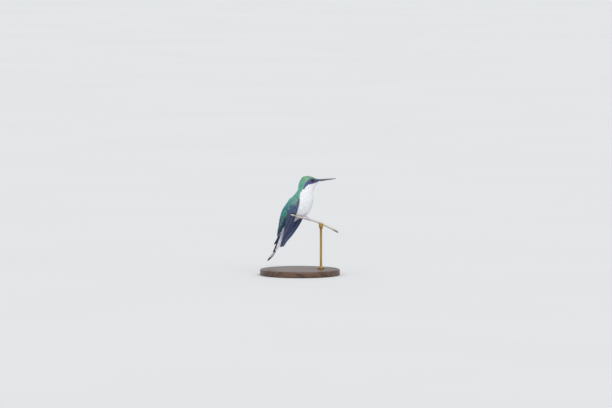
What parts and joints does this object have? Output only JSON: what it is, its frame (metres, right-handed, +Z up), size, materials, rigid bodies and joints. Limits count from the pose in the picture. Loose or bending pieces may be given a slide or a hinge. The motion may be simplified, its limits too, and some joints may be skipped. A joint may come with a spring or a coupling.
{
  "type": "hummingbird",
  "caption": "Life-size still model of a small green-backed, white-bellied hummingbird perched on a cut twig, held by a round display stand.",
  "frame": {"origin": "centre of the stand base's underside", "axes": "+X the way the bill points, +Y the bird's left, +Z up; from the neck down the body is turned 25 degrees to the bird's right"},
  "size_m": [0.08, 0.08, 0.0994],
  "materials": {
    "plumage": "soft overlapping feathers, iridescent green above, black and violet mask, pure white below",
    "flight_feather": "smooth blackish blue vanes with a faint sheen, the outer tail feathers white",
    "bill": "smooth black horn",
    "eye": "wet dark brown eye",
    "foot_skin": "small dull lilac-grey scales, darker claws",
    "twig_bark": "pale weathered bark with darker flecks",
    "stand_wood": "satin dark walnut",
    "stand_brass": "brushed brass"
  },
  "bodies": {
    "root": {"head": "plumage", "neck": "plumage", "trunk": "plumage", "wing_right": "flight_feather", "wing_left": "flight_feather", "tail": "flight_feather", "bill_upper": "bill", "bill_lower": "bill", "eye_right": "eye", "eye_left": "eye", "leg_right": "foot_skin", "leg_left": "foot_skin", "perch": "twig_bark", "stand_base": "stand_wood", "stand_rod": "stand_brass", "stand_collar": "stand_brass"}
  },
  "joints": []
}
